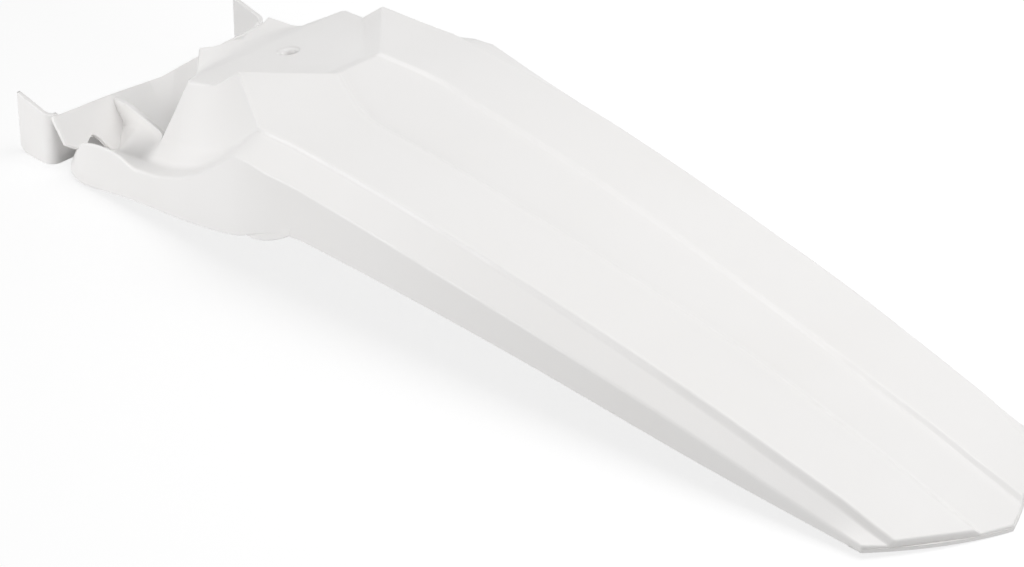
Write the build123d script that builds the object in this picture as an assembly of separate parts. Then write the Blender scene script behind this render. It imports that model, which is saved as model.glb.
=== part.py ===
"""Rear fender of a motocross motorcycle: one thin moulded shell in white plastic.

Millimetres, +Z up.  The fender lies as it rests on a floor: +X runs to the pointed tail, the
forked front with its two ears lies at -X, and the shell is the same on both sides of Y = 0.
Every guide line below is given for the +Y side as rows of (x, half width, height).
"""
import os

from build123d import *

WALL = 3.0
# cutting blocks reach this far past the shell
BLOCK = 200.0

# the blade: guide lines from its front to just past the tail
BLADE_FRONT, BLADE_END, BLADE_STATIONS = -129.0, 329.0, 22
CREST = ((-129, 77, 85.5), (-97, 75.5, 84.5), (0, 73.5, 75), (146, 67.4, 49.6), (264, 61.5, 22.2),
         (328, 57, 2.8))
RIM = ((-129, 95.5, 75.5), (-120, 96.2, 76.6), (-107, 96, 74.6), (-80, 93, 71.6), (26, 87.8, 56.5),
       (157, 80.7, 35), (272, 71, 9.8), (328, 66, 2.0))
HEM = ((-129, 95.5, 25), (-97, 94, 38.5), (-70, 93.5, 40.5), (60, 87, 30.5), (189, 78.5, 14.5),
       (285, 70.2, 3.5), (328, 66.2, -0.5))
BAND = ((-129, 15, 11), (-112, 22.5, 6.5), (-95, 28.5, 3), (-62, 27.2, 1.2), (73, 23.5, 0.6),
        (165, 19.5, 0.6), (300, 18.5, 0), (328, 18.5, -0.5))
BAND_LIFT = ((-129, 0.6), (-62, 1.6), (73, 1.0), (165, 0), (240, -2.2), (328, -2.4))
RIDGE_LIFT = ((-129, 0), (200, 0), (280, 0.8), (328, 2.2))
STEP = ((-129, 2.0, 1.0), (73, 3.0, 1.5), (208, 4.5, 1.8), (328, 5.0, 1.8))
ROUND = 1.2

# the side walls and arms in front of the blade: hem, rim, valley, bank and crest at each station
SIDE = (
    (-298.5, (60, 6), (60, 11), (54, 6), (43, 12), (38.5, 28)),
    (-286, (82, 4), (77, 12), (52, 5), (39.5, 15), (41, 29.5)),
    (-276, (88, 2), (85.5, 18), (52, 5.5), (42, 20), (43, 30)),
    (-266, (89.5, 1.5), (88, 29), (60, 9), (45.5, 22), (45, 30)),
    (-240, (89, 5), (88, 33), (73, 18), (54, 26), (51.5, 31)),
    (-222, (89.5, 8), (88, 28.5), (74, 27), (68, 36), (65.5, 40)),
    (-203, (90, 10), (88, 31), (76, 31), (69.5, 42), (62, 81)),
    (-184, (91, 12.5), (88.5, 37.5), (76, 38), (70, 45), (58.5, 84)),
    (-166, (92, 15.5), (89.5, 47), (76.5, 49), (71, 52.5), (56, 98)),
    (-147, (93.5, 19.5), (92.5, 61), (79, 65.5), (75, 67.5), (66.8, 91.6)),
)
TAB_X0, TAB_X1, TAB_LOW, TAB_HIGH, TAB_R = -122.0, -99.0, 29.5, 45.0, 4.0

# the forked notch with its seat ramp and bolt hole
SEAT_FRONT_X, SEAT_FRONT_Y, SEAT_FRONT_Z = -205.0, 62.0, 80.0
SEAT_SLOPE = 0.169
WALL_RUN = 10.0
HOLE_X, HOLE_D, RING_D, RING_DEPTH = -186.0, 8.5, 14.0, 1.0

# the tongue in front of the seat
TONGUE_BASE = (-219.6, 41.0, 70.5)
TONGUE_LIP = (-230.6, 27.0, 78.7)
TONGUE_SCALLOP = 3.0

# the nose: cross wall with an ear at each end
NOSE_X, EAR_X, EAR_Y = -297.0, -325.0, 87.0
EAR_TOP, EAR_R, BEND_TOP, RETURN_W, BEND_R = 39.0, 6.0, 32.5, 20.0, 7.0
# sloping top of the return wall: distance from its inner end, height
RETURN_TOP = ((0.0, 6.0), (8.0, 14.0))
# cross wall: half width, height of its top and of its foot, and how far it leans back for its height
CROSS = ((84, 32.0, 18), (78, 31.8, 14), (72, 31.5, 13), (64, 31.0, 16.5), (60, 31.0, 13), (56, 30.8, 6),
         (40, 30.0, 2.5), (0, 26.5, 1.5))
CROSS_LEAN = 0.74

# the tail: flange corner, swell and tip of the rounded V, and the lip at the foot of its end wall
TAIL_X, TAIL_Y, TIP_X = 285.0, 70.0, 325.0
SWELL_X, SWELL_Y = 309.5, 34.0
LIP_W, LIP_T, LIP_RUN, LIP_LAP, TAIL_LOW = 1.0, 2.0, 8.0, 3.0, 3.5


def guide(rows, x, col):
    """Height or width of a guide line at x, by a smooth cubic through its rows."""
    xs = [r[0] for r in rows]
    vs = [r[col] for r in rows]
    n = len(xs)

    def slope(i):
        a = max(i - 1, 0)
        b = min(i + 1, n - 1)
        return (vs[b] - vs[a]) / (xs[b] - xs[a])

    i = max(k for k in range(n - 1) if k == 0 or xs[k] <= x)
    h = xs[i + 1] - xs[i]
    t = (x - xs[i]) / h
    a = (1 + 2 * t) * (1 - t) ** 2 * vs[i] + t * (1 - t) ** 2 * h * slope(i)
    b = t * t * (3 - 2 * t) * vs[i + 1] - t * t * (1 - t) * h * slope(i + 1)
    return a + b


def inset(path, depth):
    """The same open path moved sideways by depth, to the right of its run."""
    lines = []
    for (y0, z0), (y1, z1) in zip(path, path[1:]):
        run = ((y1 - y0) ** 2 + (z1 - z0) ** 2) ** 0.5
        ny, nz = (z1 - z0) / run, -(y1 - y0) / run
        lines.append((ny, nz, ny * y0 + nz * z0 + depth))
    out = [(path[0][0] + lines[0][0] * depth, path[0][1] + lines[0][1] * depth)]
    for (a, b, p), (c, d, q), (y, z) in zip(lines, lines[1:], path[1:]):
        det = a * d - b * c
        if abs(det) > 1e-6:
            out.append(((p * d - b * q) / det, (a * q - p * c) / det))
        else:
            out.append((y + a * depth, z + b * depth))
    out.append((path[-1][0] + lines[-1][0] * depth, path[-1][1] + lines[-1][1] * depth))
    return out


def stations():
    """Even stations along the blade, with one more in the first gap, where the rim swells."""
    step = (BLADE_END - BLADE_FRONT) / (BLADE_STATIONS - 1)
    return [BLADE_FRONT, BLADE_FRONT + step / 2] + [BLADE_FRONT + k * step for k in range(1, BLADE_STATIONS)]


def ring(x, points):
    return Wire.make_polygon([Vector(x, y, z) for y, z in points], close=True)


def blade_half(x, plain):
    """Half profile of the blade from the hem up to the centre line."""
    yc, zc = guide(CREST, x, 1), guide(CREST, x, 2)
    yr, zr = guide(RIM, x, 1), guide(RIM, x, 2)
    yh, zh = guide(HEM, x, 1), guide(HEM, x, 2)
    ym, zm = guide(BAND, x, 1), zc + guide(BAND, x, 2)
    zb = zm + guide(BAND_LIFT, x, 1)
    drop, out = guide(STEP, x, 1), guide(STEP, x, 2)
    rim = [(yr, zr)] if plain else [(yr, zr - ROUND), (yr - ROUND, zr + 0.4)]
    crest = [(yc, zc)] if plain else [(yc + 0.5, zc - ROUND), (yc - ROUND, zc)]
    return ([(yh, zh)] + rim + [(yc + out, zc - drop)] + crest
            + [(ym + 1.5, zm), (ym - 1.5, zb), (0, zb + guide(RIDGE_LIFT, x, 1))])


def both(half):
    return half + [(-y, z) for y, z in reversed(half[:-1])]


def blade_ring(x):
    outer = both(blade_half(x, False))
    inner = both(blade_half(x, True))
    return ring(x, outer + inset(inner, -WALL)[::-1])


def strip(a, b, shift):
    """Thick strip between two paths with the same number of points."""
    wires = []
    for path in (a, b):
        low = [Vector(*p) + Vector(*shift) for p in reversed(path)]
        wires.append(Wire.make_polygon([Vector(*p) for p in path] + low, close=True))
    return Solid.make_loft(wires, ruled=True)


def mirrored(shape):
    return shape.mirror(Plane.XZ)


def seat_z(x):
    return SEAT_FRONT_Z + SEAT_SLOPE * (x - SEAT_FRONT_X)


def tail_plan(front, back):
    """Plan of the tail from front to its rounded V, drawn in by the given distance."""
    corner, swell, tip = (TAIL_X - back, TAIL_Y), (SWELL_X - back, SWELL_Y), (TIP_X - back, 0)
    with BuildSketch() as plan:
        with BuildLine():
            Polyline((corner[0], -TAIL_Y), (corner[0], -BLOCK), (front, -BLOCK), (front, BLOCK),
                     (corner[0], BLOCK), corner)
            ThreePointArc(corner, swell, tip)
            ThreePointArc(tip, (swell[0], -swell[1]), (corner[0], -corner[1]))
        make_face()
    return plan.sketch


def blade():
    shell = Solid.make_loft([blade_ring(x) for x in stations()], ruled=True)
    full = Solid.make_loft([ring(x, both(blade_half(x, False))) for x in stations()], ruled=True)
    panel = extrude(tail_plan(BLADE_FRONT - BLOCK, LIP_W), amount=BLOCK, both=True)
    start = TAIL_X - LIP_RUN
    end_wall = tail_plan(start - WALL - LIP_W, LIP_W) - tail_plan(start - BLOCK, LIP_W + WALL)
    lip = tail_plan(start, 0) - tail_plan(start - BLOCK, LIP_W + WALL + LIP_LAP)
    fall = TIP_X - TAIL_X
    tilt = Plane((TAIL_X, 0, TAIL_LOW), x_dir=(fall, 0, -TAIL_LOW), z_dir=(TAIL_LOW, 0, fall))
    plate = tilt * Box(BLOCK, 2 * TAIL_Y, LIP_T, align=(Align.CENTER, Align.CENTER, Align.MIN))
    under = tilt * Box(2 * BLOCK, 2 * BLOCK, BLOCK, align=(Align.CENTER, Align.CENTER, Align.MAX))
    foot = plate & extrude(lip, amount=BLOCK, both=True)
    return (shell & panel) + (full & extrude(end_wall, amount=BLOCK, both=True)) + foot - under


def side():
    """Side wall with the arm in front of the blade, on the +Y side."""
    hem, rim, valley, crest = blade_half(BLADE_FRONT, True)[:4]
    bank = ((valley[0] + crest[0]) / 2, (valley[1] + crest[1]) / 2)
    rings = []
    for x, *path in SIDE + ((BLADE_FRONT, hem, rim, valley, bank, crest),):
        rings.append(ring(x, path + inset(path, -WALL)[::-1]))
    return Solid.make_loft(rings, ruled=True)


def seat():
    """Floor and walls of the forked notch, and the prongs beside it: shared pieces, then +Y pieces."""
    down = (0, 0, -WALL)
    crest, (root_y, root_z) = blade_half(BLADE_FRONT, True)[3:5]
    tip = max(range(len(SIDE)), key=lambda k: SIDE[k][5][1])
    prong_x, (prong_y, prong_z) = SIDE[tip][0], SIDE[tip][5]
    dip_x, dip_y = SIDE[tip - 1][0], SIDE[tip - 1][5][0]
    dx, dy = prong_x - BLADE_FRONT, prong_y - root_y
    run = (dx * dx + dy * dy) ** 0.5
    foot_x, foot_y = prong_x - dy / run * WALL_RUN, prong_y + dx / run * WALL_RUN
    reach = (BLADE_FRONT - WALL_RUN - foot_x) / dx
    low_x, low_y = foot_x + reach * dx, foot_y + reach * dy
    plan = [(SEAT_FRONT_X, SEAT_FRONT_Y), (dip_x, dip_y), (foot_x, foot_y), (low_x, low_y)]
    floor = sheet(*[(x, y, seat_z(x)) for x, y in plan])
    root, low_root = (BLADE_FRONT, root_y, root_z), (low_x, low_y, seat_z(low_x))
    prong, low_prong = (prong_x, prong_y, prong_z), (foot_x, foot_y, seat_z(foot_x))
    dip = (dip_x, dip_y, seat_z(dip_x))
    back = sheet(root, low_root)
    wall = strip([root, low_root], [prong, low_prong], down)
    face = strip([prong, (prong_x, prong_y - ROUND / 2, prong_z)], [dip, low_prong], down)
    shoulder = (BLADE_FRONT, crest[0] - ROUND, crest[1])
    top = strip([root, shoulder], [(prong_x, prong_y - ROUND, prong_z), prong], down)
    return [floor, back], [wall, face, top]


def sheet(*half):
    """Flat plate one wall thick under the given points and their mirror images."""
    points = [Vector(*p) for p in half] + [Vector(x, -y, z) for x, y, z in reversed(half)]
    return extrude(Face(Wire.make_polygon(points, close=True)), amount=WALL, dir=(0, 0, -1))


def tongue():
    """Bevel that falls from the seat's front edge, and the scalloped tongue that rises from its foot."""
    bevel = sheet((SEAT_FRONT_X, SEAT_FRONT_Y, SEAT_FRONT_Z), TONGUE_BASE)
    lip_x, lip_y, lip_z = TONGUE_LIP
    rise = (lip_z - TONGUE_BASE[2]) / (lip_x - TONGUE_BASE[0])
    lip = []
    for share in (1.0, 0.75, 0.5, 0.25):
        back = TONGUE_SCALLOP * (1 - share ** 2)
        lip.append((lip_x + back, lip_y * share, lip_z + rise * back))
    return bevel, sheet(TONGUE_BASE, *lip)


def ear():
    """Upright ear with its rounded bend and the short return wall behind it, for the +Y end."""
    turn = NOSE_X - BEND_R
    end_y = EAR_Y - RETURN_W
    with BuildSketch() as plan:
        with BuildLine():
            Line((EAR_X, EAR_Y), (turn, EAR_Y))
            RadiusArc((turn, EAR_Y), (NOSE_X, EAR_Y - BEND_R), BEND_R)
            Line((NOSE_X, EAR_Y - BEND_R), (NOSE_X, end_y))
            Line((NOSE_X, end_y), (NOSE_X - WALL, end_y))
            Line((NOSE_X - WALL, end_y), (NOSE_X - WALL, EAR_Y - BEND_R))
            RadiusArc((NOSE_X - WALL, EAR_Y - BEND_R), (turn, EAR_Y - WALL), WALL - BEND_R)
            Line((turn, EAR_Y - WALL), (EAR_X, EAR_Y - WALL))
            Line((EAR_X, EAR_Y - WALL), (EAR_X, EAR_Y))
        make_face()
    body = extrude(plan.sketch, amount=EAR_TOP)
    top = Polyline((EAR_X, EAR_TOP), (NOSE_X, BEND_TOP), (BLOCK, BEND_TOP), (BLOCK, BLOCK), (EAR_X, BLOCK),
                   close=True)
    with BuildSketch(Plane.XZ) as corner:
        with BuildLine():
            RadiusArc((EAR_X, EAR_R), (EAR_X + EAR_R, 0), -EAR_R)
            Polyline((EAR_X + EAR_R, 0), (EAR_X + EAR_R, -EAR_R), (EAR_X - EAR_R, -EAR_R),
                     (EAR_X - EAR_R, EAR_R), (EAR_X, EAR_R))
        make_face()
    slope = [(0, 0)]
    slope += [(end_y + run, height) for run, height in RETURN_TOP]
    slope += [(EAR_Y - BEND_R, BEND_TOP), (EAR_Y - BEND_R, BLOCK), (0, BLOCK)]
    body = body - extrude(Plane.XZ * make_face(top), amount=BLOCK, both=True)
    body = body - extrude(corner.sketch, amount=BLOCK, both=True)
    return body - extrude(Plane.YZ * make_face(Polyline(*slope, close=True)), amount=2 * BLOCK, both=True)


def cross_wall():
    """Wall that leans back between the two ears, with a scalloped foot."""
    wires = []
    for y, top, low in CROSS + tuple((-y, top, low) for y, top, low in reversed(CROSS[:-1])):
        face = [Vector(NOSE_X, y, top), Vector(NOSE_X + CROSS_LEAN * (top - low), y, low)]
        front = [p - Vector(WALL, 0, 0) for p in reversed(face)]
        wires.append(Wire.make_polygon(face + front, close=True))
    return Solid.make_loft(wires, ruled=True)


def tab():
    """Small rounded tab that hangs from the hem behind the arm, on the +Y side."""
    middle = (TAB_X0 + TAB_X1) / 2
    centre = (middle, guide(HEM, middle, 1), (TAB_LOW + TAB_HIGH) / 2)
    outline = RectangleRounded(TAB_X1 - TAB_X0, TAB_HIGH - TAB_LOW, TAB_R)
    return extrude(Plane(centre, x_dir=(1, 0, 0), z_dir=(0, -1, 0)) * outline, amount=WALL, dir=(0, -1, 0))


def fender():
    shared, pairs = seat()
    half = side()
    shape = blade() + half + mirrored(half)
    for piece in pairs + [ear(), tab()]:
        shape = shape + piece + mirrored(piece)
    for piece in (*shared, *tongue(), cross_wall()):
        shape = shape + piece
    square = Plane((HOLE_X, 0, seat_z(HOLE_X)), x_dir=(1, 0, SEAT_SLOPE), z_dir=(-SEAT_SLOPE, 0, 1))
    return shape - square * Cylinder(HOLE_D / 2, 10 * WALL) - square * Cylinder(RING_D / 2, 2 * RING_DEPTH)


if __name__ == "__main__":
    os.makedirs("parts", exist_ok=True)
    part = fender()
    box = part.bounding_box()
    print("valid", part.is_valid, "volume", part.volume, "solids", len(part.solids()), box)
    part = Pos(-(box.min.X + box.max.X) / 2, 0, -box.min.Z) * part
    export_step(part, "parts/rear_fender.step")
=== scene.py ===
from math import cos, radians, sin

import bmesh
import bpy
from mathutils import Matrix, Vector


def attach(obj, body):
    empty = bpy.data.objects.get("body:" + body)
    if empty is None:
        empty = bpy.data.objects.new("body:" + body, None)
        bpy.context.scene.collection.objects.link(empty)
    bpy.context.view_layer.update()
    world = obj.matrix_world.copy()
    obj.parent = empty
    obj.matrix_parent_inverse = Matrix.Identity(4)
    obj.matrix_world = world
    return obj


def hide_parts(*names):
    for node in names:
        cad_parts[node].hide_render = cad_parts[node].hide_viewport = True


bl_info = {
    "name": "Rear Fender",
    "version": (1, 0, 0),
    "blender": (4, 5, 0),
    "location": "View3D > Sidebar > Fender",
    "description": "Dresses the moulded rear fender and sets up its studio stage",
    "category": "Object",
}

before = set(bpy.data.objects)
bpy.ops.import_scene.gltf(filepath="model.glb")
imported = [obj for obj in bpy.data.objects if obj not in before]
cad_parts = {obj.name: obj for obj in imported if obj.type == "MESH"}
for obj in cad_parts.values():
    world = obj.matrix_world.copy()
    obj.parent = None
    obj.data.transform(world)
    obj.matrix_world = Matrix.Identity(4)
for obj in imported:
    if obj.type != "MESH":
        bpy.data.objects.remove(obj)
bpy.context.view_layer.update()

# guide lines of the +Y half in millimetres: x towards the tail, half width, height
CREST = ((-129, 77, 85.5), (-97, 75.5, 84.5), (0, 73.5, 75), (146, 67.4, 49.6), (264, 61.5, 22),
         (280, 59.5, 15.2), (296, 56.3, 8), (328, 49, -6))
RIM = ((-129, 95.5, 75.5), (-120, 96.2, 76.6), (-107, 96, 74.6), (-80, 93, 71.6), (26, 87.8, 56.5),
       (157, 80.7, 35), (272, 71, 9.8), (328, 66, 2.0))
HEM = ((-129, 95.5, 25), (-97, 94, 38.5), (-70, 93.5, 40.5), (60, 87, 30.5), (189, 78.5, 14.5),
       (285, 70.2, 3.5), (328, 66.2, -0.5))
# the middle band: half width, height of its outer edge above the crest, and how far its floor lies above that
BAND = ((-129, 15, 11), (-112, 22.5, 6.5), (-95, 28.5, 3), (-62, 27.2, 1.2), (73, 23.5, 0.6),
        (165, 19.5, 0.6), (270, 18.5, 0.4), (296, 18.5, 4.5), (328, 18.5, 9))
BAND_LIFT = ((-129, -0.8), (-62, -1.6), (73, -1.3), (165, -1.3), (240, -2.2), (328, -2.4))
BAND_EDGE = 1.5
# height of the centre line above the band, and depth and width of the step outside the crest
RIDGE_LIFT = ((-129, 0), (200, 0), (280, 0.8), (328, 2.2))
STEP = ((-129, 2.0, 1.0), (73, 3.0, 1.5), (208, 4.5, 1.8), (264, 4.6, 1.8), (296, 3.4, 1.8),
        (328, 3, 1.8))
# side wall and arm in front of the blade: x, then hem, rim, valley, bank and crest
ARM = (
    (-298.5, (60, 6), (60, 11), (54, 6), (43, 12), (38.5, 28)),
    (-286, (82, 4), (77, 12), (52, 5), (39.5, 15), (41, 29.5)),
    (-276, (88, 2), (85.5, 18), (52, 5.5), (42, 20), (43, 30)),
    (-266, (89.5, 1.5), (88, 29), (62, 12), (45.5, 22), (45, 30)),
    (-240, (89, 5), (88, 33), (72, 22), (54, 26), (51.5, 31)),
    (-222, (89.5, 8), (88, 28.5), (74, 27), (68, 36), (65.5, 40)),
    (-203, (90, 10), (88, 31), (76, 31), (69.5, 42), (62, 81)),
    (-184, (91, 12.5), (88.5, 37.5), (76, 38), (70, 45), (58.5, 84)),
    (-166, (92, 15.5), (89.5, 47), (76.5, 49), (71, 52.5), (57, 97.6)),
    (-147, (93.5, 19.5), (92.5, 61), (79, 65.5), (75, 67.5), (66.8, 91.6)),
)
# the first row of ARM that lies beside the seat, and the parts between two rows in front of it
SEAT_ROW, ARM_PARTS = 6, 4
# ends of the blade's straight rows, the space between rows, and a row's points from band to centre line
BLADE_FRONT, TAIL_START, ROW, BAND_POINTS = -129.0, 255.0, 12.0, 8
# fork and seat: tip of the notch, front edge, height and slope of the seat, lean of the notch wall
PRONG_NOTCH, SEAT_FRONT, SEAT_Z, SEAT_SLOPE, WALL_RUN = (-166, 55, 98), -205.0, 80.0, 0.169, 10.0
# points of the seat floor, and those that the folds below the prong turn towards
SEAT_BACK, SEAT_MID, SEAT_HALF, SEAT_SIDE = -160.0, -174.0, 16.0, 40.0
KNEE_AIM, PRONG_AIM = (-160, 18), (-176, 30)
# bolt hole, the shallow ring round it and the sleeve below
HOLE_X, HOLE_R, RING_R, RING_DEPTH, SLEEVE = -186.0, 4.25, 7.0, 1.0, 6.0
# tongue: outer ends of its foot and lip, how far the lip is scooped and the foot raised in the middle
TONGUE_BASE, TONGUE_LIP, SCALLOP, DISH = (-218.5, 41, 71.5), (-230.6, 27, 79.5), 5.0, 5.0
# ear and the bend behind it, then half width and height along the top of the return wall
NOSE_X, EAR_X, EAR_Y, EAR_TOP, EAR_R, BEND_TOP, BEND_R = -297.0, -325.0, 87.0, 39.0, 6.0, 32.5, 7.0
RETURN_TOP = ((77.5, 22), (75, 14), (71, 9.5), (67, 6))
# the cross wall: half width, then height of its top and of its foot
CROSS = ((0, 26.5, 1.9), (40, 30, 2.6), (56, 30.8, 6), (60, 31, 13), (64, 31, 16.5), (72, 31.5, 13),
         (78, 31.8, 14), (84, 32, 18))
CROSS_LEAN = 0.74
CROSS_COLUMNS = (0, 10, 20, 30, 40, 46, 52, 55, 57, 58.5, 60, 62, 64, 67, 70, 73, 76, 78, 80, 82, 84)
# tail: corner, swell and tip of its rounded V, then the lip and the end wall that stands on it
TAIL_X, TAIL_Y, SWELL_X, SWELL_Y, TIP_X = 285.0, 70.0, 309.5, 34.0, 325.0
LIP_W, LIP_T, LIP_TUCK, LIP_COLUMNS, TAIL_LOW = 0.6, 2.0, 5.0, 21, 3.5
END_LEAST, END_LIFT, TAIL_TRIES = 0.3, 0.4, 12
# tab under the skirt: its ends, lowest and highest points, and the curve of its foot
TAB_X0, TAB_X1, TAB_LOW, TAB_HIGH, TAB_TUCK = -126.0, -88.0, 24.0, 45.0, 0.4
TAB_HEEL, TAB_SAG_X, TAB_TOE = 3.5, -112.0, 4.0
# how far each fold is rounded, the most of each side that it takes up, and the extra where folds are soft
FOLD_SHARE = 0.45
RIM_FOLD, LOW_FOLD, CREST_FOLD, BAND_FOLD, TAIL_FOLD = 1.6, 1.0, 1.3, 0.9, 1.2
RIM_SOFT, LOW_SOFT, CREST_SOFT = 2.0, 6.0, 0.7
NOTCH_FOLD, SEAT_FOLD, SEAT_EDGE_FOLD, TONGUE_FOLD, SHOULDER_FOLD = 1.6, 2.5, 5.0, 6.0, 9.0
BLADE_SOFT, SIDE_SOFT, ARM_SOFT = 0.0, 0.3, 0.4
# metres in a millimetre, and how close points are welded and slivers removed, in metres
MM, WELD, SLIVER = 0.001, 0.00004, 0.00002
# the studio in metres: place, point faced and size of each lamp, and where the floor grows whiter behind
FAR_LAMP = ((0.8, 1.2, 1.2), (0.1, 0, 0), (1.4, 1.2))
TAIL_LAMP = ((0.26, 0.1, 1.0), (0.1, 0, 0), (0.8, 0.8))
FRONT_LAMP = ((-0.47, -0.82, 0.24), (-0.22, -0.05, 0.05), (0.7, 0.35))
LOW_LAMP = ((1.1, -0.15, 0.1), (0.2, 0, 0.02), (0.3, 0.15))
SWEEP_START, SWEEP_END, SWEEP_LIFT = 0.05, 0.35, 0.06


class FenderShellSettings(bpy.types.PropertyGroup):
    """Wall, cut-edge rounding and finish of the moulded shell."""

    wall: bpy.props.FloatProperty(
        name="Wall", description="Thickness of the moulded sheet", default=0.003, min=0.001, max=0.006,
        subtype="DISTANCE", unit="LENGTH")
    edge_round: bpy.props.FloatProperty(
        name="Edge round", description="Radius left on the sheet's cut edges", default=0.0006,
        min=0.0, max=0.0015, subtype="DISTANCE", unit="LENGTH")
    plastic_color: bpy.props.FloatVectorProperty(
        name="Plastic", description="Colour of the white polypropylene", default=(0.88, 0.87, 0.862, 1.0),
        size=4, min=0.0, max=1.0, subtype="COLOR")
    cloud_color: bpy.props.FloatVectorProperty(
        name="Flow clouding", description="Colour where the plastic flowed last in the mould",
        default=(0.862, 0.85, 0.838, 1.0), size=4, min=0.0, max=1.0, subtype="COLOR")
    gloss_low: bpy.props.FloatProperty(
        name="Smoothest", description="Roughness where the mould was polished", default=0.34, min=0.05,
        max=1.0, subtype="FACTOR")
    gloss_high: bpy.props.FloatProperty(
        name="Dullest", description="Roughness where the surface is dull", default=0.5, min=0.05, max=1.0,
        subtype="FACTOR")
    grain_depth: bpy.props.FloatProperty(
        name="Grain depth", description="Depth of the fine mould grain", default=0.00006, min=0.0, max=0.001,
        precision=6, subtype="DISTANCE", unit="LENGTH")


class FenderStageSettings(bpy.types.PropertyGroup):
    """Floor, lamps and camera of the studio."""

    floor_size: bpy.props.FloatProperty(
        name="Floor size", description="Side of the square floor", default=8.0, min=2.0, max=40.0,
        subtype="DISTANCE", unit="LENGTH")
    floor_color: bpy.props.FloatVectorProperty(
        name="Floor", description="Colour of the paper floor", default=(0.9, 0.9, 0.9, 1.0), size=4, min=0.0,
        max=1.0, subtype="COLOR")
    floor_lift: bpy.props.FloatProperty(
        name="Floor lift", description="White seen on the floor besides the light that falls on it",
        default=0.82, min=0.0, max=1.0, subtype="FACTOR")
    shadow_share: bpy.props.FloatProperty(
        name="Shadow share", description="How strongly the light that falls on the floor shows on it",
        default=0.24, min=0.0, max=1.0, subtype="FACTOR")
    room_light: bpy.props.FloatProperty(
        name="Room light", description="Strength of the white room around the fender", default=0.18, min=0.0,
        max=2.0)
    far_power: bpy.props.FloatProperty(
        name="Far lamp", description="Power of the wide lamp behind the far side", default=7.2, min=0.0,
        max=500.0, unit="POWER")
    tail_power: bpy.props.FloatProperty(
        name="Tail lamp", description="Power of the lamp over the tail", default=6.9, min=0.0, max=500.0,
        unit="POWER")
    front_power: bpy.props.FloatProperty(
        name="Front lamp", description="Power of the low lamp beside the front arm", default=4.4, min=0.0,
        max=500.0, unit="POWER")
    low_power: bpy.props.FloatProperty(
        name="Low lamp", description="Power of the faint lamp low behind the tail", default=0.8, min=0.0,
        max=500.0, unit="POWER")
    camera_place: bpy.props.FloatVectorProperty(
        name="Camera place", description="Where the camera stands", default=(1.05677, -1.15587, 0.95399),
        size=3, subtype="TRANSLATION", unit="LENGTH")
    camera_turn: bpy.props.FloatVectorProperty(
        name="Camera turn", description="How the camera is turned",
        default=(radians(58.8272), radians(-0.3869), radians(42.9874)), size=3, subtype="EULER",
        unit="ROTATION")
    camera_lens: bpy.props.FloatProperty(
        name="Lens", description="Focal length in millimetres on a 36 mm wide sensor", default=117.77,
        min=10.0, max=500.0)


def node(tree, kind, place, **sockets):
    """A shader node with plain values set on its own sockets."""
    made = tree.nodes.new(kind)
    made.location = place
    for name, value in sockets.items():
        made.inputs[name.replace("_", " ")].default_value = value
    return made


def white_plastic(shell):
    """Satin white polypropylene with faint flow clouding and a fine mould grain."""
    paint = bpy.data.materials.new("white_polypropylene")
    paint.use_nodes = True
    tree = paint.node_tree
    link = tree.links.new
    body = tree.nodes["Principled BSDF"]
    body.inputs["IOR"].default_value = 1.49
    place = node(tree, "ShaderNodeTexCoord", (-1100, 0))
    cloud = node(tree, "ShaderNodeTexNoise", (-880, 200), Scale=9.0, Detail=3.0, Roughness=0.5)
    tone = node(tree, "ShaderNodeMix", (-420, 260))
    tone.data_type = "RGBA"
    tone.inputs[6].default_value = shell.plastic_color
    tone.inputs[7].default_value = shell.cloud_color
    spread = node(tree, "ShaderNodeMapRange", (-640, 260), From_Min=0.35, From_Max=0.75)
    dull = node(tree, "ShaderNodeTexNoise", (-880, -40), Scale=38.0, Detail=4.0, Roughness=0.6)
    gloss = node(tree, "ShaderNodeMapRange", (-640, -40), From_Min=0.3, From_Max=0.7, To_Min=shell.gloss_low,
                 To_Max=shell.gloss_high)
    grain = node(tree, "ShaderNodeTexNoise", (-880, -300), Scale=1400.0, Detail=2.0, Roughness=0.5)
    bump = node(tree, "ShaderNodeBump", (-420, -300), Strength=0.35, Distance=shell.grain_depth)
    for texture in (cloud, dull, grain):
        link(place.outputs["Object"], texture.inputs["Vector"])
    link(cloud.outputs[0], spread.inputs["Value"])
    link(spread.outputs[0], tone.inputs[0])
    link(tone.outputs[2], body.inputs["Base Color"])
    link(dull.outputs[0], gloss.inputs["Value"])
    link(gloss.outputs[0], body.inputs["Roughness"])
    link(grain.outputs[0], bump.inputs["Height"])
    link(bump.outputs[0], body.inputs["Normal"])
    return paint


def along(rows, x, col):
    """Width or height of a guide line at x, by a smooth cubic through its rows."""
    last = len(rows) - 1
    i = max(k for k in range(last) if k == 0 or rows[k][0] <= x)

    def slope(k):
        a, b = rows[max(k - 1, 0)], rows[min(k + 1, last)]
        return (b[col] - a[col]) / (b[0] - a[0])

    gap = rows[i + 1][0] - rows[i][0]
    t = (x - rows[i][0]) / gap
    near = (1 + 2 * t) * (1 - t) ** 2 * rows[i][col] + t * (1 - t) ** 2 * gap * slope(i)
    return near + t * t * (3 - 2 * t) * rows[i + 1][col] - t * t * (1 - t) * gap * slope(i + 1)


def rounded(before, corner, after, reach, steps=3):
    """Points round a fold, starting and ending at most reach away from its corner."""
    a, c = before - corner, after - corner
    a = corner + a.normalized() * min(reach, FOLD_SHARE * a.length)
    c = corner + c.normalized() * min(reach, FOLD_SHARE * c.length)
    return [a.lerp(corner, k / steps).lerp(corner.lerp(c, k / steps), k / steps) for k in range(steps + 1)]


def halfway(row, other):
    """The row midway between two rows."""
    return [p.lerp(q, 0.5) for p, q in zip(row, other)]


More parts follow.
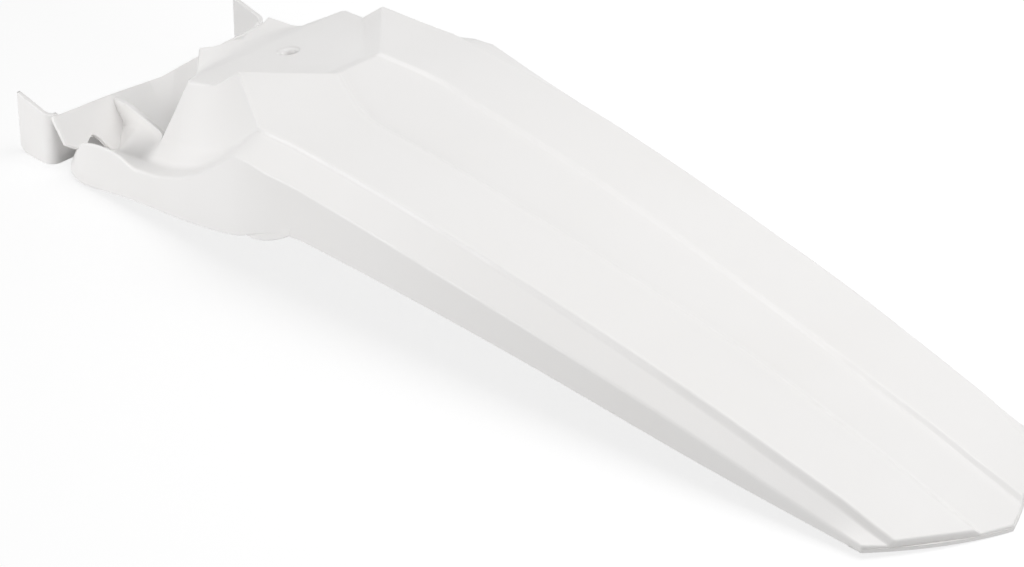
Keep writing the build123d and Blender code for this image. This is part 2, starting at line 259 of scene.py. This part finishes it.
def lay(faces, grid):
    """Add a quad between every four neighbours of a grid of points."""
    for low, high in zip(grid, grid[1:]):
        for k in range(len(low) - 1):
            faces.append((low[k], low[k + 1], high[k + 1], high[k]))


def blade_lines(x):
    """Hem, rim, foot of the step, crest, middle band and centre line of the blade at x."""
    yc, zc = along(CREST, x, 1), along(CREST, x, 2)
    ym, zm = along(BAND, x, 1), zc + along(BAND, x, 2)
    zb = zm + along(BAND_LIFT, x, 1)
    drop, out = along(STEP, x, 1), along(STEP, x, 2)
    top = zb + along(RIDGE_LIFT, x, 1)
    pairs = ((along(HEM, x, 1), along(HEM, x, 2)), (along(RIM, x, 1), along(RIM, x, 2)),
             (yc + out, zc - drop), (yc, zc), (ym + BAND_EDGE, zm), (ym - BAND_EDGE, zb),
             (ym / 2, (zb + top) / 2), (0, top))
    return [Vector((x, y, z)) for y, z in pairs]


def tail_edge(y):
    """Where the rounded V of the tail lies at half width y."""
    tip, swell, corner = (0, TIP_X), (SWELL_Y, SWELL_X), (TAIL_Y, TAIL_X)
    x = 0.0
    for p, q, r in ((tip, swell, corner), (swell, tip, corner), (corner, tip, swell)):
        x += p[1] * (y - q[0]) * (y - r[0]) / ((p[0] - q[0]) * (p[0] - r[0]))
    return x


def tail_lines(share):
    """The blade's lines part of the way from its last straight row to the rounded V."""
    lines = []
    for k in range(len(blade_lines(TAIL_START))):
        end = TAIL_X
        for _ in range(TAIL_TRIES):
            end = tail_edge(blade_lines(end)[k].y) - LIP_W
        lines.append(blade_lines(TAIL_START + share * (end - TAIL_START))[k])
    return lines


def side_row(hem, rim, valley, bank, crest, beyond, soft):
    """A row from the hem to the crest with its folds rounded; soft widens the low folds."""
    low_fold = LOW_FOLD + LOW_SOFT * soft
    row = [hem, hem.lerp(rim, 0.5)] + rounded(hem, rim, valley, RIM_FOLD + RIM_SOFT * soft)
    row += rounded(rim, valley, bank, low_fold) + rounded(valley, bank, crest, low_fold)
    return row + ([crest] if beyond is None else rounded(bank, crest, beyond, CREST_FOLD + CREST_SOFT * soft))


def blade_row(lines):
    """A row across the blade from the hem to the centre line."""
    hem, rim, valley, crest, outside, inside, half, centre = lines
    row = side_row(hem, rim, valley, valley.lerp(crest, 0.5), crest, outside, BLADE_SOFT)
    row += rounded(crest, outside, inside, BAND_FOLD, 2) + rounded(outside, inside, half, BAND_FOLD, 2)
    return row + [half, centre]


def arm_lines(x):
    """Hem, rim, valley, bank and crest of the arm, which bends smoothly along its front end."""
    lines = []
    for k in range(1, 6):
        rows = [(row[0], *row[k]) for row in ARM]
        lines.append(Vector((x, along(rows, x, 1), along(rows, x, 2))))
    return lines


def seat_point(x, y):
    """A point on the sloping seat."""
    return Vector((x, y, SEAT_Z + SEAT_SLOPE * (x - SEAT_FRONT)))


def floor_slope(x):
    """Height of the tail's foot, which falls to the floor at the tip."""
    return TAIL_LOW * (TIP_X - x) / (TIP_X - TAIL_X)


def tail_end(before, top):
    """Folded edge and end wall below one point of the tail's rounded V."""
    foot = Vector((top.x, top.y, min(top.z - END_LEAST, floor_slope(top.x) + END_LIFT)))
    return rounded(before, top, foot, TAIL_FOLD) + [foot]


def lip_sheet():
    """Thin lip along the foot of the tail's end wall."""
    columns = []
    for k in range(LIP_COLUMNS):
        y = TAIL_Y * k / (LIP_COLUMNS - 1)
        edge = tail_edge(y)
        line = [edge - LIP_W - LIP_TUCK, edge - LIP_W, edge]
        columns.append([Vector((x, y, floor_slope(x) + LIP_T)) for x in line])
    faces = []
    lay(faces, columns)
    return faces


def arm_sheet(faces, seat_corner):
    """The arm from its tip back to the seat's front corner."""
    rows = []
    stations = [row[0] for row in ARM[:SEAT_ROW]]
    for a, b in zip(stations, stations[1:]):
        parts = [a + (b - a) * k / ARM_PARTS for k in range(ARM_PARTS)]
        rows += [side_row(*arm_lines(x), None, ARM_SOFT) for x in parts]
    rows.append(side_row(*arm_lines(stations[-1]), None, ARM_SOFT))
    for share in (0.33, 0.67):
        rows.append([p.lerp(q, share) for p, q in zip(rows[-1], seat_corner)])
    lay(faces, rows + [seat_corner])


def seat_sheet(faces, floor, dip, front):
    """Seat floor round the bolt hole; floor is the foot of the notch wall from the middle to the prong."""
    knee, prong = len(floor) - 3, len(floor) - 1
    mid = [seat_point(x, SEAT_HALF) for x in (SEAT_BACK, SEAT_MID, HOLE_X, front.x)]
    centre = [seat_point(x, 0) for x in (SEAT_BACK, SEAT_MID, front.x)]
    half = seat_point(front.x, SEAT_HALF / 2)
    faces.append((*floor[:knee + 1], mid[0], centre[0]))
    faces.append((centre[0], mid[0], *floor[knee:], mid[1], centre[1]))
    faces.append((mid[1], floor[prong], floor[prong].lerp(dip, 0.5), dip, mid[2]))
    brow = front.lerp(mid[3], 0.5)
    faces.append((mid[2], dip, dip.lerp(front, 0.5), front, brow, mid[3]))
    up = Vector((-SEAT_SLOPE, 0, 1)).normalized()
    turns = [radians(a) for a in range(0, 181, 15)]
    ring = [seat_point(HOLE_X + RING_R * cos(a), RING_R * sin(a)) for a in turns]
    low = [p - up * RING_DEPTH for p in ring]
    middle = seat_point(HOLE_X, 0) - up * RING_DEPTH
    hole = [middle + (p - middle) * (HOLE_R / RING_R) for p in low]
    for points, a, b in (((centre[1], mid[1]), 0, 4), ((mid[1], mid[2]), 4, 6), ((mid[2], mid[3]), 6, 9),
                         ((mid[3], half), 9, 10), ((half, centre[2]), 10, 12)):
        faces.append((*points, *reversed(ring[a:b + 1])))
    sleeve = [p - up * SLEEVE for p in hole]
    lay(faces, [ring, low, hole, sleeve])
    return [front, brow, mid[3], half, centre[2]]


def tongue_sheet(faces, front):
    """Bevel in front of the seat and the scalloped tongue that rises from its foot."""
    columns = []
    for point, share in zip(front, (1.0, 0.7, 0.4, 0.2, 0.0)):
        fold = seat_point(SEAT_FRONT, point.y)
        inward = 1 - share ** 2
        base = Vector((TONGUE_BASE[0], TONGUE_BASE[1] * share, TONGUE_BASE[2] + DISH * inward))
        back = SCALLOP * inward / (TONGUE_BASE[0] - TONGUE_LIP[0])
        lip = Vector((TONGUE_LIP[0], TONGUE_LIP[1] * share, TONGUE_LIP[2]))
        lip = lip.lerp(Vector((base.x, lip.y, base.z)), back)
        folds = rounded(point, fold, base, SEAT_EDGE_FOLD) + rounded(fold, base, lip, TONGUE_FOLD)
        columns.append([point] + folds + [lip])
    lay(faces, columns)


def main_sheet():
    """The +Y half of the sheet: blade, tail, side wall, arm, fork, seat and tongue."""
    faces = []
    count = round((TAIL_START - BLADE_FRONT) / ROW)
    stations = [BLADE_FRONT + (TAIL_START - BLADE_FRONT) * k / count for k in range(count + 1)]
    rows = [blade_row(blade_lines(x)) for x in stations]
    rows += [blade_row(tail_lines(share)) for share in (0.25, 0.5, 0.75, 1.0)]
    ends = [tail_end(before, top) for before, top in zip(rows[-2], rows[-1])]
    rows[-1] = [column[0] for column in ends]
    lay(faces, ends)

    # edge of the fork from the root of the notch to the prong, and the foot of the wall below it
    wide = len(rows[0]) - BAND_POINTS
    tip = Vector(PRONG_NOTCH)
    root = rows[0][:wide - 1:-1]
    turn = root[-1]
    knee = turn.lerp(tip, (BLADE_FRONT - ARM[-1][0]) / (BLADE_FRONT - tip.x))
    lean = Vector((turn.y - tip.y, tip.x - turn.x, 0)).normalized() * WALL_RUN
    tip_foot = seat_point(tip.x + lean.x, tip.y + lean.y)
    reach = (BLADE_FRONT - WALL_RUN - tip_foot.x) / (turn.x - tip.x)
    low_y = tip_foot.y + reach * (turn.y - tip.y)
    foot = [seat_point(BLADE_FRONT - WALL_RUN, low_y * p.y / turn.y) for p in root]
    foot += [seat_point(knee.x + lean.x, knee.y + lean.y), tip_foot]

    # side wall beside the seat and the prong
    inner = [seat_point(row[0], SEAT_SIDE) for row in ARM[SEAT_ROW:SEAT_ROW + 2]] + [tip, knee]
    sides = []
    for row, beyond in zip(ARM[SEAT_ROW:], inner):
        sides.append(side_row(*[Vector((row[0], *point)) for point in row[1:]], beyond, SIDE_SOFT))
    sides.append(rows[0][:wide])
    arm_sheet(faces, sides[0][:wide - 3])
    for a, b in zip(sides, sides[1:]):
        lay(faces, [a, halfway(a, b), b])

    # notch wall, prong top and the fold from prong to dip
    front, dip, prong, neck, shoulder = [side[-1] for side in sides]
    back, out = (rows[1][wide] - turn).normalized(), (shoulder - turn).normalized()
    corner = turn + back * SHOULDER_FOLD + out * SHOULDER_FOLD
    before = rows[1][:wide:-1] + [corner, neck, prong]
    inside = [seat_point(SEAT_BACK, p.y) for p in foot[:BAND_POINTS]]
    inside += [seat_point(*KNEE_AIM), seat_point(*PRONG_AIM)]
    walls = []
    for behind, fold, low, floor in zip(before, root + [knee, tip], foot, inside):
        walls.append(rounded(behind, fold, low, NOTCH_FOLD) + rounded(fold, low, floor, SEAT_FOLD))
    at_turn, at_knee, at_prong = walls[BAND_POINTS - 1:]
    walls[BAND_POINTS:] = [halfway(at_turn, at_knee), at_knee, halfway(at_knee, at_prong), at_prong]
    lay(faces, walls)
    root_top, neck_top, prong_top = [shoulder, at_turn[0]], [neck, at_knee[0]], [prong, at_prong[0]]
    lay(faces, [root_top, halfway(root_top, neck_top), neck_top, halfway(neck_top, prong_top), prong_top])
    chain = [prong] + at_prong
    lay(faces, [chain, [p.lerp(dip, 0.5) for p in chain], [dip] * len(chain)])
    rows[0] = rows[0][:wide] + [wall[0] for wall in walls[BAND_POINTS - 1::-1]]
    lay(faces, rows)
    tongue_sheet(faces, seat_sheet(faces, [wall[-1] for wall in walls], dip, front))
    return faces


def ear_sheet():
    """Upright ear with its rounded bend and the low return wall behind it."""
    slope = (BEND_TOP - EAR_TOP) / (NOSE_X - EAR_X)
    plan = []
    for a in (0, 30, 60, 90):
        x = EAR_X + EAR_R * (1 - cos(radians(a)))
        plan.append((x, EAR_Y, EAR_R * (1 - sin(radians(a))), EAR_TOP + slope * (x - EAR_X)))
    for a in (0, 18, 36, 54, 72, 90):
        x = NOSE_X - BEND_R * (1 - sin(radians(a)))
        y = EAR_Y - BEND_R * (1 - cos(radians(a)))
        plan.append((x, y, 0, EAR_TOP + slope * (x - EAR_X)))
    plan += [(NOSE_X, y, 0, top) for y, top in RETURN_TOP]
    faces = []
    lay(faces, [[Vector((x, y, z)) for z in (low, (low + top) / 2, top)] for x, y, low, top in plan])
    return faces


def cross_sheet():
    """Half of the wall that leans back between the ears, with its scalloped foot."""
    columns = []
    for y in CROSS_COLUMNS:
        top = Vector((NOSE_X, y, along(CROSS, y, 1)))
        foot = along(CROSS, y, 2)
        low = Vector((NOSE_X + CROSS_LEAN * (top.z - foot), y, foot))
        columns.append([top, top.lerp(low, 0.5), low])
    faces = []
    lay(faces, columns)
    return faces


def tab_sheet():
    """Small rounded tab that hangs from the hem."""
    y = along(HEM, (TAB_X0 + TAB_X1) / 2, 1) - TAB_TUCK
    outline = [Vector((TAB_X1, y, TAB_HIGH)), Vector((TAB_X0, y, TAB_HIGH))]
    heel, toe = Vector((TAB_X0, y, TAB_LOW + TAB_HEEL)), Vector((TAB_X1, y, TAB_HIGH - TAB_TOE))
    sag = Vector((TAB_SAG_X, y, TAB_LOW))
    outline += [heel.lerp(sag, k / 8).lerp(sag.lerp(toe, k / 8), k / 8) for k in range(9)]
    return [tuple(outline)]


def moulded_mesh():
    """Every sheet of the +Y half in one mesh, each with its outer side out."""
    made = bmesh.new()
    for faces, outward in ((lip_sheet(), (0, 0, 1)), (main_sheet(), (0, 0, 1)), (ear_sheet(), (1, 1, 0)),
                           (cross_sheet(), (1, 0, 0)), (tab_sheet(), (0, 1, 0))):
        part = bmesh.new()
        for points in faces:
            part.faces.new([part.verts.new(p * MM) for p in points])
        bmesh.ops.remove_doubles(part, verts=part.verts[:], dist=WELD)
        bmesh.ops.dissolve_degenerate(part, edges=part.edges[:], dist=SLIVER)
        bmesh.ops.recalc_face_normals(part, faces=part.faces[:])
        facing = sum(f.normal.dot(Vector(outward)) * f.calc_area() for f in part.faces)
        if facing < 0:
            bmesh.ops.reverse_faces(part, faces=part.faces[:])
        loose = bpy.data.meshes.new("sheet")
        part.to_mesh(loose)
        part.free()
        made.from_mesh(loose)
        bpy.data.meshes.remove(loose)
    for face in made.faces:
        face.smooth = True
    mark = made.edges.layers.float.new("bevel_weight_edge")
    for edge in made.edges:
        before_tail = max(v.co.x for v in edge.verts) <= MM * (TAIL_X - LIP_TUCK)
        off_centre = min(v.co.y for v in edge.verts) > 1e-5
        edge[mark] = 1.0 if edge.is_boundary and before_tail and off_centre else 0.0
    mesh = bpy.data.meshes.new("fender_shell")
    made.to_mesh(mesh)
    made.free()
    return mesh


class FENDER_OT_shell(bpy.types.Operator):
    """Fold the moulded shell from its guide lines and give it its plastic"""

    bl_idname = "fender.shell"
    bl_label = "Fender shell"

    def execute(self, context):
        shell = context.scene.fender_shell
        piece = bpy.data.objects.new("fender_shell", moulded_mesh())
        context.scene.collection.objects.link(piece)
        piece.data.materials.append(white_plastic(shell))
        twin = piece.modifiers.new("other_half", "MIRROR")
        twin.use_axis = (False, True, False)
        twin.merge_threshold = 0.00005
        wall = piece.modifiers.new("wall", "SOLIDIFY")
        wall.thickness = shell.wall
        wall.offset = -1.0
        wall.use_even_offset = True
        wall.use_quality_normals = True
        # the lip is thinner; its points come first in the mesh, three to a column
        thin = piece.vertex_groups.new(name="wall_share")
        lip = 3 * LIP_COLUMNS
        thin.add(range(lip), LIP_T * MM / shell.wall, "REPLACE")
        thin.add(range(lip, len(piece.data.vertices)), 1.0, "REPLACE")
        wall.vertex_group = thin.name
        soft = piece.modifiers.new("edge_round", "BEVEL")
        soft.width = shell.edge_round
        soft.segments = 2
        soft.limit_method = "WEIGHT"
        soft.use_clamp_overlap = False
        even = piece.modifiers.new("even_shading", "WEIGHTED_NORMAL")
        even.weight = 60
        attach(piece, "root")
        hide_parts("rear_fender")
        return {"FINISHED"}


def seen_rays(tree):
    """A value that is 1 for rays from the camera, straight or by a reflection, and 0 for all others."""
    path = node(tree, "ShaderNodeLightPath", (-400, 300))
    either = node(tree, "ShaderNodeMath", (-200, 300))
    either.operation = "MAXIMUM"
    tree.links.new(path.outputs["Is Camera Ray"], either.inputs[0])
    tree.links.new(path.outputs["Is Glossy Ray"], either.inputs[1])
    return either.outputs[0]


def paper_floor(stage):
    """White paper that keeps the fender's shadow and looks white to the camera."""
    paper = bpy.data.materials.new("white_paper")
    paper.use_nodes = True
    tree = paper.node_tree
    tree.nodes.clear()
    link = tree.links.new
    out = node(tree, "ShaderNodeOutputMaterial", (500, 0))
    matt = node(tree, "ShaderNodeBsdfDiffuse", (0, 200), Color=stage.floor_color)
    shade = node(tree, "ShaderNodeBsdfDiffuse", (-200, 0), Color=(*[stage.shadow_share] * 3, 1))
    spot = node(tree, "ShaderNodeTexCoord", (-900, -160))
    axes = node(tree, "ShaderNodeSeparateXYZ", (-700, -160))
    sweep = node(tree, "ShaderNodeMapRange", (-500, -160), From_Min=SWEEP_START, From_Max=SWEEP_END,
                 To_Min=stage.floor_lift, To_Max=stage.floor_lift + SWEEP_LIFT)
    glow = node(tree, "ShaderNodeEmission", (-200, -160), Color=(1, 1, 1, 1))
    lit = node(tree, "ShaderNodeAddShader", (0, -80))
    pick = node(tree, "ShaderNodeMixShader", (260, 0))
    link(spot.outputs["Object"], axes.inputs[0])
    link(axes.outputs["Y"], sweep.inputs["Value"])
    link(sweep.outputs[0], glow.inputs["Strength"])
    link(shade.outputs[0], lit.inputs[0])
    link(glow.outputs[0], lit.inputs[1])
    link(seen_rays(tree), pick.inputs[0])
    link(matt.outputs[0], pick.inputs[1])
    link(lit.outputs[0], pick.inputs[2])
    link(pick.outputs[0], out.inputs["Surface"])
    return paper


def white_room(scene, stage):
    """Faint even light from all round, seen as plain white by the camera."""
    room = bpy.data.worlds.new("white_room")
    room.use_nodes = True
    tree = room.node_tree
    tree.nodes.clear()
    link = tree.links.new
    out = node(tree, "ShaderNodeOutputWorld", (500, 0))
    light = node(tree, "ShaderNodeBackground", (0, 120), Color=(1, 1, 1, 1), Strength=stage.room_light)
    white = node(tree, "ShaderNodeBackground", (0, -120), Color=(1, 1, 1, 1), Strength=1.0)
    pick = node(tree, "ShaderNodeMixShader", (260, 0))
    link(seen_rays(tree), pick.inputs[0])
    link(light.outputs[0], pick.inputs[1])
    link(white.outputs[0], pick.inputs[2])
    link(pick.outputs[0], out.inputs["Surface"])
    scene.world = room


def soft_lamp(scene, name, hung, power):
    """A flat soft lamp; hung gives its place, the point that it faces and its size."""
    place, at, size = hung
    lamp = bpy.data.lights.new(name, "AREA")
    lamp.shape = "RECTANGLE"
    lamp.size, lamp.size_y = size
    lamp.energy = power
    held = bpy.data.objects.new(name, lamp)
    held.location = place
    held.rotation_euler = (Vector(at) - Vector(place)).to_track_quat("-Z", "Y").to_euler()
    scene.collection.objects.link(held)
    return held


class FENDER_OT_stage(bpy.types.Operator):
    """Lay the pale floor, hang the soft lamps and set the camera"""

    bl_idname = "fender.stage"
    bl_label = "Studio stage"

    def execute(self, context):
        scene = context.scene
        stage = scene.fender_stage
        scene.view_settings.view_transform = "Standard"
        half = stage.floor_size / 2
        floor = bpy.data.meshes.new("paper_floor")
        corners = [(-half, -half, 0), (half, -half, 0), (half, half, 0), (-half, half, 0)]
        floor.from_pydata(corners, [], [(0, 1, 2, 3)])
        floor.materials.append(paper_floor(stage))
        paper = bpy.data.objects.new("paper_floor", floor)
        scene.collection.objects.link(paper)
        white_room(scene, stage)
        soft_lamp(scene, "far_lamp", FAR_LAMP, stage.far_power)
        soft_lamp(scene, "tail_lamp", TAIL_LAMP, stage.tail_power)
        front = soft_lamp(scene, "front_lamp", FRONT_LAMP, stage.front_power)
        low = soft_lamp(scene, "low_lamp", LOW_LAMP, stage.low_power)
        lit = bpy.data.collections.new("lit_by_side_lamps")
        lit.objects.link(bpy.data.objects["fender_shell"])
        front.light_linking.receiver_collection = lit
        low.light_linking.receiver_collection = lit
        lens = bpy.data.cameras.new("photo_camera")
        lens.sensor_fit = "HORIZONTAL"
        lens.sensor_width = 36.0
        lens.lens = stage.camera_lens
        lens.clip_start = 0.05
        camera = bpy.data.objects.new("photo_camera", lens)
        camera.location = stage.camera_place
        camera.rotation_euler = stage.camera_turn
        scene.collection.objects.link(camera)
        scene.camera = camera
        return {"FINISHED"}


class VIEW3D_PT_rear_fender(bpy.types.Panel):
    """Fender and stage controls"""

    bl_label = "Rear Fender"
    bl_space_type = "VIEW_3D"
    bl_region_type = "UI"
    bl_category = "Fender"

    def draw(self, context):
        for title, group, operator in (("Shell", context.scene.fender_shell, FENDER_OT_shell),
                                       ("Stage", context.scene.fender_stage, FENDER_OT_stage)):
            box = self.layout.box()
            box.label(text=title)
            for name in group.__annotations__:
                box.prop(group, name)
            box.operator(operator.bl_idname)


CLASSES = (FenderShellSettings, FenderStageSettings, FENDER_OT_shell, FENDER_OT_stage, VIEW3D_PT_rear_fender)


def register():
    for item in CLASSES:
        bpy.utils.register_class(item)
    bpy.types.Scene.fender_shell = bpy.props.PointerProperty(type=FenderShellSettings)
    bpy.types.Scene.fender_stage = bpy.props.PointerProperty(type=FenderStageSettings)


def unregister():
    del bpy.types.Scene.fender_stage
    del bpy.types.Scene.fender_shell
    for item in reversed(CLASSES):
        bpy.utils.unregister_class(item)


def main():
    register()
    bpy.ops.fender.shell()
    bpy.ops.fender.stage()


if __name__ == "__main__":
    main()
